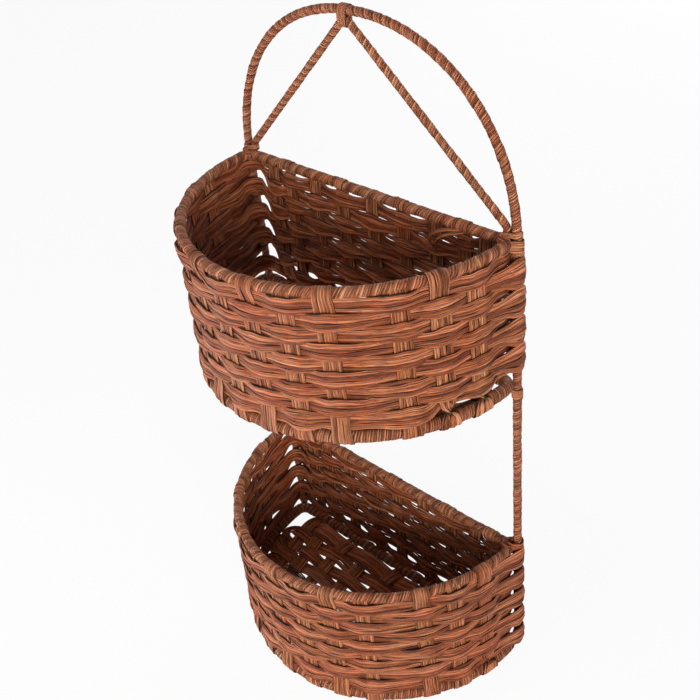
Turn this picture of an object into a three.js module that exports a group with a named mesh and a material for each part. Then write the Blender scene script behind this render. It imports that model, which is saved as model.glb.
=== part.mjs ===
// A two-tier hanging basket: two half-round woven baskets, one above the other, on one bent hoop.
// Millimetres, +Z up. The flat backs face +Y, towards the wall; the round fronts face -Y.
import * as THREE from "three";

// Frame
const postSpacing = 260; // between the centres of the two back posts
const archRise = 130; // from the upper top ring to the crown of the arch
const archFullness = 2.1; // 2 is a plain ellipse, more is squarer at the shoulders
const hoopRadius = 3.3; // hoop wire with its wrapping
const braceRadius = 2.9;
const braceBend = 7; // length of the bends at the apex and above the feet of the brace
const braceFoot = 10; // straight foot of the brace, lashed to the post
const braceApexShift = 9; // how far left of the crown the bend of the brace is tied
const archSteps = 44; // bends round the arch
const rodSides = 8;
const gap = 0.35; // air between pieces that touch

// Rings
const ringRadius = 3.7;
const ringInset = 2.9; // from the line of the posts in to the straight back of a ring
const basketDepth = 140; // from the posts to the front of a ring
const basketHeight = 114; // from a bottom ring to its top ring
const basketGap = 160; // from the lower top ring to the upper bottom ring
const ringCornerSteps = 2; // bends in half a corner
const ringFrontSteps = 24;

// Upright stakes: flat bundles that go down one wall, across the floor and up the other wall
const stakeWidth = 12;
const stakeThickness = 1.6;
const stakeOutset = 2.2; // how far the woven wall stands outside the line of the rings
const shoulderHeight = 12; // height over which a stake leaves the wall to pass outside a ring
const floorInset = 13; // from the ring's line to where a stake reaches the floor
const frontStakeCount = 13;
const frontFirstShare = 0.107; // shares of the way round the front, from the left post
const frontStakeShare = 0.0635;
const closeStakeCount = 10; // stakes left of the one wide gap in the front
const wideGapShare = 0.048;
const backStakeShares = [0.085, 0.175, 0.28, 0.39, 0.505, 0.62, 0.735, 0.835, 0.905]; // left to right
const sideStakeCount = 2; // stakes at each end that cross the floor from side to side

// Weavers: flat bundles that go round the wall, over one stake and under the next
const weaverRows = 9;
const weaverDrop = 9; // from a top ring down to the middle of the first weaver
const weaverRise = 15.4; // from a bottom ring up to the middle of the last weaver
const weaverFloatShare = 1.107; // height where it passes outside a stake, as a share of the pitch
const weaverTuckShare = 0.714; // where it is squeezed in behind a stake or round a post
const weaverThickness = 2.2;

// Floor rows, which run from side to side over and under the stakes
const floorRowCount = 8;
const floorRowStart = 21.2; // from the posts to the first row
const floorRowEnd = 30; // from the last row to the front of the ring
const floorRowWidth = 9;
const floorRowThickness = 1.6;
const floorTurnWidth = 4.5; // a floor weaver is pinched where it turns
const floorTurnDepth = 4.5; // how far the turn stands out from the last stake
const floorBackRows = [0, 1, 2]; // rows that the back floor weaver makes
const floorSideRows = [3, 4]; // rows that the side stakes make
const floorFrontRows = [5, 6, 7];

// Bindings of thin cord
const cordRadius = 0.8;
const cordPitch = 2.1;
const cordSides = 5;
const apexTurns = 4;
const apexSlackHeight = 2; // how far the binding hangs below the bend, where the brace's arms spread
const footTurns = 3;
const footMargin = 1.6; // from the end of a brace foot to its lashing
const postTurns = 3;
const cornerTurns = 2; // on a post inside the lower basket's bottom corner, below the last weaver
const wideSteps = 12; // bends in one turn round two rods
const narrowSteps = 10; // bends in one turn round one rod

const up = new THREE.Vector3(0, 0, 1);
const halfSpacing = postSpacing / 2;
const stakeReach = stakeWidth / 2;
const wrapRadius = (ringRadius + gap + stakeThickness / 2) / Math.cos(Math.PI / 8);

// The ring's corner is bent just round enough to seat against its post.
const cornerSeat = hoopRadius + ringRadius + gap;
const cornerRadius = (cornerSeat - Math.SQRT2 * ringInset) / (Math.SQRT2 - 1);
const halfRing = halfSpacing - ringInset;
const cornerY = -(ringInset + cornerRadius);
const frontRise = basketDepth + cornerY;

// Heights of the ring centres above the ground that the lowest wraps stand on
const lowerBottom = (wrapRadius + stakeThickness / 2) * Math.cos(Math.PI / 8);
const lowerTop = lowerBottom + basketHeight;
const upperBottom = lowerTop + basketGap;
const upperTop = upperBottom + basketHeight;
const crown = upperTop + archRise;

const weaverPitch = (basketHeight - weaverDrop - weaverRise) / (weaverRows - 1);
const weaverFloatHeight = weaverFloatShare * weaverPitch;
const weaverTuckHeight = weaverTuckShare * weaverPitch;
const floorRowPitch = (basketDepth - floorRowStart - floorRowEnd) / (floorRowCount - 1);
const floorSwing = (stakeThickness + floorRowThickness) / 2 + gap;
const turnReach = floorTurnDepth + floorTurnWidth / 2;

// The brace lies under the arch and beside the posts, and stands just clear of the top ring.
const braceTopRise = hoopRadius + gap + braceRadius;
const braceFootX = halfSpacing - braceTopRise;
const braceFootZ = upperTop + ringRadius + gap;
const apexShare = Math.pow(1 - Math.pow(braceApexShift / halfSpacing, archFullness), 1 / archFullness);
const apexTop = upperTop + archRise * apexShare; // height of the arch where the brace is tied to it

const colours = {
  hoop: new THREE.Color("#a8623f"),
  ring: new THREE.Color("#a5603e"),
  stake: new THREE.Color("#a9663f"),
  weaver: new THREE.Color("#9c5839"),
  floor: new THREE.Color("#8a4a30"),
  cord: new THREE.Color("#ad6a45"),
};

const part = new THREE.Group();

function addPiece(name, geometry, colour) {
  const material = new THREE.MeshStandardMaterial({ color: colour, roughness: 0.75, metalness: 0 });
  const piece = new THREE.Mesh(geometry, material);
  piece.name = name;
  part.add(piece);
  return piece;
}

// The ring's outline seen from above: a straight back, two round corners and a half-ellipse front.
// It is followed from the middle of the left corner, round the front, and back along the wall.
class RingPath extends THREE.Curve {
  constructor(height) {
    super();
    this.height = height;
    this.pieces = [];
    const bend = halfRing - cornerRadius;
    this.addArc(-bend, cornerRadius, cornerRadius, 0.75 * Math.PI, Math.PI);
    this.addArc(0, halfRing, frontRise, Math.PI, 2 * Math.PI);
    this.addArc(bend, cornerRadius, cornerRadius, 0, Math.PI / 4);
    this.frontLength = this.pieces.reduce((sum, piece) => sum + piece.getLength(), 0);
    this.addArc(bend, cornerRadius, cornerRadius, Math.PI / 4, Math.PI / 2);
    const backRight = new THREE.Vector2(bend, -ringInset);
    this.pieces.push(new THREE.LineCurve(backRight, new THREE.Vector2(-bend, -ringInset)));
    this.addArc(-bend, cornerRadius, cornerRadius, Math.PI / 2, 0.75 * Math.PI);
    this.fullLength = this.pieces.reduce((sum, piece) => sum + piece.getLength(), 0);
  }

  addArc(x, radiusX, radiusY, from, to) {
    this.pieces.push(new THREE.EllipseCurve(x, cornerY, radiusX, radiusY, from, to, false, 0));
  }

  // The point and outward normal at a distance along the outline
  at(distance) {
    let left = distance;
    for (const piece of this.pieces) {
      const length = piece.getLength();
      if (left <= length || piece === this.pieces.at(-1)) {
        const share = Math.min(left / length, 1);
        const point = piece.getPointAt(share);
        const tangent = piece.getTangentAt(share);
        return {
          point: new THREE.Vector3(point.x, point.y, this.height),
          normal: new THREE.Vector3(tangent.y, -tangent.x, 0),
        };
      }
      left -= length;
    }
  }

  getPoint(t, target = new THREE.Vector3()) {
    return target.copy(this.at(t * this.fullLength).point);
  }
}

// Points where the ring is bent, closer together round the corners, with the first repeated at the end
function ringStations(path) {
  const distances = [];
  const corner = (Math.PI / 4) * cornerRadius;
  const side = path.frontLength - 2 * corner;
  for (let i = 0; i < ringCornerSteps; i++) distances.push((corner * i) / ringCornerSteps);
  for (let i = 0; i < ringFrontSteps; i++) distances.push(corner + (side * i) / ringFrontSteps);
  for (let i = 0; i <= 2 * ringCornerSteps; i++) {
    distances.push(path.frontLength - corner + (corner * i) / ringCornerSteps);
  }
  for (let i = ringCornerSteps; i >= 0; i--) {
    distances.push(path.fullLength - (corner * i) / ringCornerSteps);
  }
  return distances.map((distance) => path.at(distance).point);
}

// A solid with a flat oblong section carried through stations, closed into a ring or capped at its ends.
// A station has its middle, the direction across the width, the direction through the thickness and
// half of each size.
function bandGeometry(stations, closed) {
  const corners = [
    [1, 1],
    [-1, 1],
    [-1, -1],
    [1, -1],
  ];
  const positions = [];
  for (const { middle, across, through, width, thickness } of stations) {
    for (const [a, b] of corners) {
      const corner = middle
        .clone()
        .addScaledVector(across, (a * width) / 2)
        .addScaledVector(through, (b * thickness) / 2);
      positions.push(corner.x, corner.y, corner.z);
    }
  }
  const travel = stations[1].middle.clone().sub(stations[0].middle);
  const facing = stations[0].across.clone().cross(stations[0].through);
  const flipped = travel.dot(facing) < 0;
  const index = [];
  const addTriangle = (a, b, c) => index.push(...(flipped ? [a, c, b] : [a, b, c]));
  const last = closed ? stations.length : stations.length - 1;
  for (let i = 0; i < last; i++) {
    const here = 4 * i;
    const next = 4 * ((i + 1) % stations.length);
    for (let j = 0; j < 4; j++) {
      const k = (j + 1) % 4;
      addTriangle(here + j, here + k, next + k);
      addTriangle(here + j, next + k, next + j);
    }
  }
  if (!closed) {
    const end = 4 * (stations.length - 1);
    addTriangle(0, 3, 2);
    addTriangle(0, 2, 1);
    addTriangle(end, end + 1, end + 2);
    addTriangle(end, end + 2, end + 3);
  }
  const geometry = new THREE.BufferGeometry();
  geometry.setAttribute("position", new THREE.Float32BufferAttribute(positions, 3));
  geometry.setIndex(index);
  return geometry;
}

function roundSection(radius, sides) {
  const points = Array.from({ length: sides }, (_, i) => {
    const angle = (2 * Math.PI * (i + 0.5)) / sides;
    return new THREE.Vector2(radius * Math.cos(angle), radius * Math.sin(angle));
  });
  return new THREE.Shape(points);
}

// An extrusion steps evenly along its path, so this path puts each step on a point chosen for it.
class StationPath extends THREE.Curve {
  constructor(points, closed = false) {
    super();
    this.points = points;
    this.closed = closed;
  }

  getPoint(t, target = new THREE.Vector3()) {
    const place = t * (this.points.length - 1);
    const i = Math.min(Math.floor(place), this.points.length - 2);
    return target.lerpVectors(this.points[i], this.points[i + 1], place - i);
  }

  getPointAt(t, target) {
    return this.getPoint(t, target);
  }

  getTangentAt(t, target = new THREE.Vector3()) {
    const last = this.points.length - 1;
    const i = Math.round(t * last);
    const before = this.closed && i === 0 ? this.points[last - 1] : this.points[Math.max(i - 1, 0)];
    const after = this.closed && i === last ? this.points[1] : this.points[Math.min(i + 1, last)];
    const arriving = this.points[i].clone().sub(before).normalize();
    const leaving = after.clone().sub(this.points[i]).normalize();
    return target.copy(arriving).add(leaving).normalize();
  }
}

function rodGeometry(points, radius, sides) {
  const options = { steps: points.length - 1, extrudePath: new StationPath(points) };
  return new THREE.ExtrudeGeometry(roundSection(radius, sides), options);
}

// A point of the arch, a superellipse, at an angle from its left foot
function archPoint(angle) {
  const power = 2 / archFullness;
  const x = Math.sign(Math.cos(angle)) * Math.abs(Math.cos(angle)) ** power;
  const rise = Math.abs(Math.sin(angle)) ** power;
  return new THREE.Vector3(-halfSpacing * x, 0, upperTop + archRise * rise);
}

// The hoop: one rod bent into the arch, whose ends run down as the two back posts
function addHoop() {
  const points = [new THREE.Vector3(-halfSpacing, 0, lowerBottom)];
  for (let i = 0; i <= archSteps; i++) points.push(archPoint((Math.PI * i) / archSteps));
  points.push(new THREE.Vector3(halfSpacing, 0, lowerBottom));
  addPiece("hoop_and_posts", rodGeometry(points, hoopRadius, rodSides), colours.hoop);
}

// The brace is one rod bent into a V under the crown, its feet turned down beside the posts.
function braceBendPoints(before, corner, after, steps) {
  const towardsBefore = before.clone().sub(corner).setLength(braceBend);
  const towardsAfter = after.clone().sub(corner).setLength(braceBend);
  const curve = new THREE.QuadraticBezierCurve3(
    corner.clone().add(towardsBefore),
    corner.clone(),
    corner.clone().add(towardsAfter),
  );
  return curve.getPoints(steps);
}

function addBrace() {
  const place = (x, z) => new THREE.Vector3(x, 0, z);
  const kneeZ = braceFootZ + braceFoot + braceBend / 2;
  const climb = apexTop - braceTopRise - kneeZ;
  const steepness = climb / Math.hypot(climb, braceFootX);
  const apex = place(-braceApexShift, apexTop - braceTopRise + (braceBend * steepness) / 2);
  const leftFoot = place(-braceFootX, braceFootZ);
  const leftKnee = place(-braceFootX, kneeZ);
  const rightKnee = place(braceFootX, kneeZ);
  const rightFoot = place(braceFootX, braceFootZ);
  const points = [
    leftFoot,
    ...braceBendPoints(leftFoot, leftKnee, apex, 3),
    ...braceBendPoints(leftKnee, apex, rightKnee, 6),
    ...braceBendPoints(apex, rightKnee, rightFoot, 3),
    rightFoot,
  ];
  addPiece("v_brace", rodGeometry(points, braceRadius, rodSides), colours.hoop);
}

// Where each stake stands on the ring's outline, and where the posts break the row
function wallAnchors(ringPath) {
  const anchors = [];
  for (let i = 0; i < frontStakeCount; i++) {
    const share = frontFirstShare + frontStakeShare * i + (i >= closeStakeCount ? wideGapShare : 0);
    anchors.push({ kind: "stake", ...ringPath.at(share * ringPath.frontLength) });
  }
  anchors.push({ kind: "post", side: 1 });
  for (const share of [...backStakeShares].reverse()) {
    const x = postSpacing * (share - 0.5);
    const point = new THREE.Vector3(x, -ringInset, 0);
    anchors.push({ kind: "stake", point, normal: new THREE.Vector3(0, 1, 0) });
  }
  anchors.push({ kind: "post", side: -1 });
  return anchors;
}

// How far outside the ring's line a stake stands at a height, between a bottom and a top ring
function stakeOffset(aboveBottom) {
  const fromRing = Math.min(aboveBottom, basketHeight - aboveBottom);
  const shoulderEnd = wrapRadius * Math.sin(Math.PI / 8);
  const outside = wrapRadius * Math.cos(Math.PI / 8);
  const share = THREE.MathUtils.clamp((fromRing - shoulderEnd) / (shoulderHeight - shoulderEnd), 0, 1);
  return THREE.MathUtils.lerp(outside, stakeOutset, share);
}

// Where a weaver lies against a stake: its offset from the ring's line, and how far its top leans out
function weaverSeat(height, width, outside) {
  const upper = stakeOffset(height + width / 2);
  const lower = stakeOffset(height - width / 2);
  const middle = (upper + lower) / 2;
  const lean = (upper - lower) / width;
  const bulge = outside ? 0 : Math.max(middle - stakeOffset(height), 0);
  const swing = ((stakeThickness + weaverThickness) / 2 + gap) * Math.hypot(1, lean) + bulge;
  return { offset: middle + (outside ? swing : -swing), lean };
}

// One weaver: a closed band that passes outside every other stake or post and inside the rest
function addWeaver(name, anchors, bottom, row, startsOutside) {
  const height = basketHeight - weaverDrop - weaverPitch * row;
  const postSwing = (hoopRadius + weaverThickness / 2 + gap) / Math.cos(Math.PI / 8);
  const stations = [];
  const addStation = (x, y, normal, lean, width) => {
    const middle = new THREE.Vector3(x, y, bottom + height);
    const across = up.clone().addScaledVector(normal, lean).normalize();
    const through = normal.clone().addScaledVector(up, -lean).normalize();
    stations.push({ middle, across, through, width, thickness: weaverThickness });
  };
  anchors.forEach((anchor, i) => {
    const outside = (i + row) % 2 === (startsOutside ? 0 : 1);
    if (anchor.kind === "post") {
      const turns = outside ? [0, Math.PI / 4, Math.PI / 2] : [Math.PI / 4];
      const reach = outside ? postSwing : -postSwing - gap;
      if (anchor.side < 0) turns.reverse();
      for (const turn of turns) {
        const normal = new THREE.Vector3(anchor.side * Math.cos(turn), Math.sin(turn), 0);
        const x = anchor.side * halfSpacing + reach * normal.x;
        addStation(x, reach * normal.y, normal, 0, weaverTuckHeight);
      }
      return;
    }
    const width = outside ? weaverFloatHeight : weaverTuckHeight;
    const { normal, point } = anchor;
    const along = new THREE.Vector3().crossVectors(up, normal);
    const { offset, lean } = weaverSeat(height, width, outside);
    for (const side of [-1, 1]) {
      const x = point.x + normal.x * offset + along.x * stakeReach * side;
      const y = point.y + normal.y * offset + along.y * stakeReach * side;
      addStation(x, y, normal, lean, width);
    }
  });
  addPiece(name, bandGeometry(stations, true), colours.weaver);
}

// One end of a stake: hooked over the top ring, down the wall and under the bottom ring, then inwards.
// The stations run from the hook down to where the floor begins.
function stakeLeg(anchor, bottom) {
  const { point, normal } = anchor;
  const along = new THREE.Vector3().crossVectors(up, normal);
  const stations = [];
  const addStation = (offset, height, angle) => {
    const middle = new THREE.Vector3(point.x, point.y, bottom + height).addScaledVector(normal, offset);
    const through = normal.clone().multiplyScalar(Math.cos(angle)).addScaledVector(up, Math.sin(angle));
    stations.push({ middle, across: along, through, width: stakeWidth, thickness: stakeThickness });
  };
  const eighth = Math.PI / 8;
  for (const turn of [9, 7, 5, 3, 1]) {
    const angle = turn * eighth;
    addStation(wrapRadius * Math.cos(angle), basketHeight + wrapRadius * Math.sin(angle), angle);
  }
  addStation(stakeOffset(basketHeight - shoulderHeight), basketHeight - shoulderHeight, 0);
  addStation(stakeOffset(shoulderHeight), shoulderHeight, 0);
  for (const turn of [1, -1, -3, -5]) {
    const angle = turn * eighth;
    addStation(wrapRadius * Math.cos(angle), wrapRadius * Math.sin(angle), angle);
  }
  return stations;
}

function floorStation(x, y, height, run, width, thickness) {
  const across = new THREE.Vector3().crossVectors(run, up).normalize();
  const middle = new THREE.Vector3(x, y, height);
  return { middle, across, through: up.clone().negate(), width, thickness };
}

function floorEdge(anchor) {
  return anchor.point.clone().addScaledVector(anchor.normal, -floorInset).setZ(0);
}

// Stakes that run from the front wall, under the floor rows, to the back wall
function mainStakeLines(anchors) {
  const mains = [];
  for (let i = 0; i < backStakeShares.length; i++) {
    const front = anchors[sideStakeCount + i];
    const back = anchors[frontStakeCount + 1 + (backStakeShares.length - 1 - i)];
    mains.push({ front, back, start: floorEdge(front), end: floorEdge(back) });
  }
  return mains;
}

function addMainStake(name, line, bottom) {
  const run = line.end.clone().sub(line.start).normalize();
  const onFloor = (point) => floorStation(point.x, point.y, bottom, run, stakeWidth, stakeThickness);
  const down = stakeLeg(line.front, bottom);
  const upwards = stakeLeg(line.back, bottom).reverse();
  for (const station of upwards) station.across = station.across.clone().negate();
  const stations = [...down, onFloor(line.start), onFloor(line.end), ...upwards];
  const firstAcross = down.at(-1).across;
  for (const station of stations.slice(down.length, down.length + 2)) {
    if (station.across.dot(firstAcross) < 0) station.across.negate();
  }
  addPiece(name, bandGeometry(stations, false), colours.stake);
}

function floorRowY(row) {
  return -(floorRowStart + floorRowPitch * row);
}

// Where a floor row meets a main stake, half the length along which they touch, whether the stake
// reaches the row at all, and whether a weaver has room to turn beyond it
function floorMeeting(line, row) {
  const y = floorRowY(row);
  const slant = (line.end.x - line.start.x) / (line.end.y - line.start.y);
  const x = line.start.x + slant * (y - line.start.y);
  const reach = stakeReach * Math.hypot(1, slant) + (Math.abs(slant) * floorRowWidth) / 2;
  const meets = y - floorRowWidth / 2 >= line.start.y;
  const turns = meets && Math.abs(x) + reach <= insideHalfWidth(y) - turnReach;
  return { x, y, reach, meets, turns };
}

// Stations of one floor row, from the left to the right, over one main stake and under the next
function floorCrossings(lines, row, bottom, crosses) {
  const run = new THREE.Vector3(1, 0, 0);
  const stations = [];
  lines.forEach((line, i) => {
    if (!crosses(line)) return;
    const { x, y, reach } = floorMeeting(line, row);
    const height = bottom + ((i + row) % 2 ? floorSwing : -floorSwing);
    for (const side of [-1, 1]) {
      stations.push(floorStation(x + side * reach, y, height, run, floorRowWidth, floorRowThickness));
    }
  });
  return stations;
}

// Half the clear width inside a ring at a distance in front of the posts
function insideHalfWidth(y) {
  const inset = ringRadius + gap;
  const share = Math.max(cornerY - y, 0) / (frontRise - inset);
  return (halfRing - inset) * Math.sqrt(Math.max(1 - share * share, 0));
}

function addSideStake(name, left, right, lines, row, bottom) {
  const y = floorRowY(row);
  const down = stakeLeg(left, bottom);
  const upwards = stakeLeg(right, bottom).reverse();
  for (const station of upwards) station.across = station.across.clone().negate();
  const middleRow = floorCrossings(lines, row, bottom, (line) => floorMeeting(line, row).meets);
  const run = new THREE.Vector3(1, 0, 0);
  const ends = [left, right].map((anchor) => {
    const edge = floorEdge(anchor);
    return floorStation(edge.x, (edge.y + 3 * y) / 4, bottom, run, floorRowWidth, stakeThickness);
  });
  const stations = [...down, ends[0], ...middleRow, ends[1], ...upwards];
  const firstAcross = down.at(-1).across;
  for (const station of stations.slice(down.length, stations.length - upwards.length)) {
    if (station.across.dot(firstAcross) < 0) station.across.negate();
  }
  addPiece(name, bandGeometry(stations, false), colours.stake);
}

// A floor weaver goes back and forth over several rows, turning flat round the last stake.
function addFloorWeaver(name, lines, rows, bottom) {
  const stations = [];
  rows.forEach((row, n) => {
    const side = n % 2 === 0 ? 1 : -1;
    const crosses = (line) => {
      const { x, turns } = floorMeeting(line, row);
      const joined = rows[Math.sign(x) === side ? n + 1 : n - 1] ?? row;
      return turns && floorMeeting(line, joined).turns;
    };
    const crossings = floorCrossings(lines, row, bottom, crosses);
    if (side < 0) {
      crossings.reverse();
      for (const station of crossings) station.across.negate();
    }
    stations.push(...crossings);
    if (n === rows.length - 1) return;
    const last = crossings.at(-1).middle;
    for (const angle of [-Math.PI / 4, 0, Math.PI / 4]) {
      const out = new THREE.Vector3(side * Math.cos(angle), -Math.sin(angle), 0);
      const middle = last.clone();
      middle.x += out.x * floorTurnDepth;
      middle.y += ((out.y - 1) * floorRowPitch) / 2;
      middle.z = bottom - ((last.z - bottom) * Math.sin(angle)) / Math.SQRT2;
      const across = out.clone().multiplyScalar(-side);
      if (across.dot(stations.at(-1).across) < 0) across.negate();
      const through = up.clone().negate();
      stations.push({ middle, across, through, width: floorTurnWidth, thickness: floorRowThickness });
    }
  });
  addPiece(name, bandGeometry(stations, false), colours.floor);
}

// A winding of thin cord: one unbroken coil whose loops follow a racetrack round one or two rods.
// The loop lies in the plane of its long and short directions and climbs along the axis.
function windingPoints({ centre, long, short, axis, halfLong, radius, turns, stepsPerTurn }) {
  const points = [];
  const steps = turns * stepsPerTurn;
  for (let i = 0; i <= steps; i++) {
    const angle = (2 * Math.PI * i) / stepsPerTurn;
    const climb = cordPitch * (i / stepsPerTurn - turns / 2);
    const cosine = Math.abs(Math.cos(angle)) < 1e-6 ? 0 : Math.cos(angle);
    const point = centre
      .clone()
      .addScaledVector(long, radius * cosine + Math.sign(cosine) * halfLong)
      .addScaledVector(short, radius * Math.sin(angle))
      .addScaledVector(axis, climb);
    points.push(point);
  }
  return points;
}

function leastSelfGap(points, stepsPerTurn) {
  let least = Infinity;
  for (let i = 0; i < points.length; i++) {
    for (let j = i + Math.floor(stepsPerTurn / 2); j < points.length; j++) {
      least = Math.min(least, points[i].distanceTo(points[j]));
    }
  }
  return least - 2 * cordRadius;
}

function addWinding(name, options) {
  const points = windingPoints(options);
  const selfGap = leastSelfGap(points, options.stepsPerTurn);
  console.log(name + " least gap to itself " + selfGap.toFixed(2) + " mm");
  addPiece(name, rodGeometry(points, cordRadius, cordSides), colours.cord);
}

// The radius of a winding's bends, so that its straight pieces clear a rod
function windingRadius(rodRadius, stepsPerTurn) {
  return (rodRadius + gap + cordRadius) / Math.cos(Math.PI / stepsPerTurn);
}

// The binding that ties the bend of the brace under the crown of the arch
function addApexBinding() {
  const halfLong = (braceTopRise + apexSlackHeight) / 2;
  addWinding("apex_binding", {
    centre: new THREE.Vector3(-braceApexShift, 0, apexTop - halfLong),
    long: up,
    short: new THREE.Vector3(0, 1, 0),
    axis: new THREE.Vector3(1, 0, 0),
    halfLong,
    radius: windingRadius(hoopRadius, wideSteps),
    turns: apexTurns,
    stepsPerTurn: wideSteps,
  });
}

// A lashing whose loops lie level and go round a post, or round a post and a brace foot
function addLashing(name, middleX, halfLong, height, turns, stepsPerTurn) {
  addWinding(name, {
    centre: new THREE.Vector3(middleX, 0, height),
    long: new THREE.Vector3(1, 0, 0),
    short: new THREE.Vector3(0, 1, 0),
    axis: up,
    halfLong,
    radius: windingRadius(hoopRadius, stepsPerTurn),
    turns,
    stepsPerTurn,
  });
}

function addLashings(label, side) {
  const footMiddle = (side * (halfSpacing + braceFootX)) / 2;
  const footHalf = (halfSpacing - braceFootX) / 2;
  const footHeight = braceFootZ + footMargin + cordRadius + (cordPitch * footTurns) / 2;
  addLashing("upper_top_lashing_" + label, footMiddle, footHalf, footHeight, footTurns, wideSteps);
  const addPostLashing = (start, ringHeight, direction, turns) => {
    const climb = ringRadius + gap + cordRadius + (cordPitch * turns) / 2;
    const height = ringHeight + direction * climb;
    addLashing(start + label, side * halfSpacing, 0, height, turns, narrowSteps);
  };
  addPostLashing("upper_bottom_lashing_", upperBottom, -1, postTurns);
  addPostLashing("lower_top_lashing_", lowerTop, 1, postTurns);
  addPostLashing("lower_bottom_lashing_", lowerBottom, 1, cornerTurns);
}

function addRing(name, path) {
  const points = ringStations(path);
  const stations = new StationPath(points, true);
  const tube = new THREE.TubeGeometry(stations, points.length - 1, ringRadius, rodSides, true);
  addPiece(name, tube, colours.ring);
}

function addBasket(tier, bottom, startsOutside) {
  const bottomPath = new RingPath(bottom);
  const topPath = new RingPath(bottom + basketHeight);
  addRing(tier + "_top_ring", topPath);
  addRing(tier + "_bottom_ring", bottomPath);
  const anchors = wallAnchors(bottomPath);
  for (let row = 0; row < weaverRows; row++) {
    addWeaver(tier + "_weaver_" + (row + 1), anchors, bottom, row, startsOutside);
  }
  const lines = mainStakeLines(anchors);
  lines.forEach((line, i) => addMainStake(tier + "_stake_" + (i + 1), line, bottom));
  floorSideRows.forEach((row, i) => {
    const left = anchors[i];
    const right = anchors[frontStakeCount - 1 - i];
    addSideStake(tier + "_side_stake_" + (i + 1), left, right, lines, row, bottom);
  });
  addFloorWeaver(tier + "_floor_weaver_back", lines, floorBackRows, bottom);
  addFloorWeaver(tier + "_floor_weaver_front", lines, floorFrontRows, bottom);
}

addHoop();
addBrace();
addBasket("upper", upperBottom, true);
addBasket("lower", lowerBottom, false);
addApexBinding();
addLashings("left", -1);
addLashings("right", 1);

// The part's own frame: the middle of its outer box, standing on z = 0
const bounds = new THREE.Box3().setFromObject(part);
const centre = bounds.getCenter(new THREE.Vector3());
part.position.set(-centre.x, -centre.y, -bounds.min.z);

export default part;
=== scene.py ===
import math

import bpy
import numpy as np
from mathutils import Matrix, Vector


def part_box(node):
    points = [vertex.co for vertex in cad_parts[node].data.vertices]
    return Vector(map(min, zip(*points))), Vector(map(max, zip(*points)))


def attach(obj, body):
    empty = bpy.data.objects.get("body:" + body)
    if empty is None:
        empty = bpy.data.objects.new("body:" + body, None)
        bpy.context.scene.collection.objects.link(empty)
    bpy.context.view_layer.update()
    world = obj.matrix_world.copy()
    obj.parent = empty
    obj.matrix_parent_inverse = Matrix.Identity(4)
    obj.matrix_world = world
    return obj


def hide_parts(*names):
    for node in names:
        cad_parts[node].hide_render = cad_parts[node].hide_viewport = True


# Tiered wall basket: two half-round woven baskets on one cord-wound hoop.
# Lengths in the dictionaries are millimetres, but camera, lamps and floor are in metres.
# The working axes have the two posts on the x axis, the wall at +y and the round fronts at -y.

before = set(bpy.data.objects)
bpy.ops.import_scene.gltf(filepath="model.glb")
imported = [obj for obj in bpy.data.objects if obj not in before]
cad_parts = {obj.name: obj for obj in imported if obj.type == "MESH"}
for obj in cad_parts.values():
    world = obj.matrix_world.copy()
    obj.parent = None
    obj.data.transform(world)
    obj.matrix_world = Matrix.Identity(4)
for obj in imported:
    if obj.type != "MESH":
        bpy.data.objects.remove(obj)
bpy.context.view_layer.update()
mm = 0.001


def nodeMiddle(node):
    low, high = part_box(node)
    return [(a + b) / 2 / mm for a, b in zip(low, high)]


basket = {
    "postSpacing": 260,
    "archRise": 130,
    "archFullness": 2.1,
    "archSteps": 400,
    "depth": 140,
    "height": 114,
    "hoopRadius": 3.3,
    "ringRadius": 3.7,
    "ringInset": 2.9,
    "clearance": 0.35,
    # places of the stakes, as shares of the front's length and of the post spacing
    "frontFirstShare": 0.107,
    "frontStakeShare": 0.0635,
    "frontStakes": 13,
    "wideGapAfter": 10,
    "wideGapShare": 0.048,
    "backShares": (0.104, 0.175, 0.28, 0.39, 0.505, 0.62, 0.735, 0.835, 0.905),
    "stakeOutset": 2.2,
    "stakeWrapRadius": 4.6,
    "shoulderStart": 2.01,  # between these heights a stake comes in from the ring to the wall
    "shoulderHeight": 12,
    "lean": 3.0,  # how far the front stakes lean to the right on their way down
}

hoopMiddle = nodeMiddle("hoop_and_posts")
origin = np.array([hoopMiddle[0], hoopMiddle[1], 0.0])
heights = {name: nodeMiddle(name + "_ring")[2] for name in
           ("upper_top", "upper_bottom", "lower_top", "lower_bottom")}
halfSpacing = basket["postSpacing"] / 2
# the first row passes outside the even stakes of the upper basket and the odd ones of the lower,
# and the winding of the top ring covers the hooks of the same stakes
firstPass = {"upper": 0, "lower": 1}
rng = np.random.default_rng(20)


def putInScene(name, data):
    made = bpy.data.objects.new(name, data)
    bpy.context.scene.collection.objects.link(made)
    return made


view = {
    "place": (0.491733, -0.419094, 0.735339),
    "right": (0.71978, 0.68831, -0.09026),
    "down": (0.33975, -0.46266, -0.81885),
    "forward": (-0.60538, 0.55873, -0.56687),
    "lens": 54.75,
    "sensor": 36,
    "clip": (0.02, 30),
}


def addCamera():
    data = bpy.data.cameras.new("photoCamera")
    data.lens = view["lens"]
    data.sensor_width = view["sensor"]
    data.clip_start, data.clip_end = view["clip"]
    camera = putInScene("photoCamera", data)
    over, behind = [-v for v in view["down"]], [-v for v in view["forward"]]
    turn = Matrix((view["right"], over, behind)).transposed()
    camera.matrix_world = Matrix.Translation(view["place"]) @ turn.to_4x4()
    bpy.context.scene.camera = camera


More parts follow.
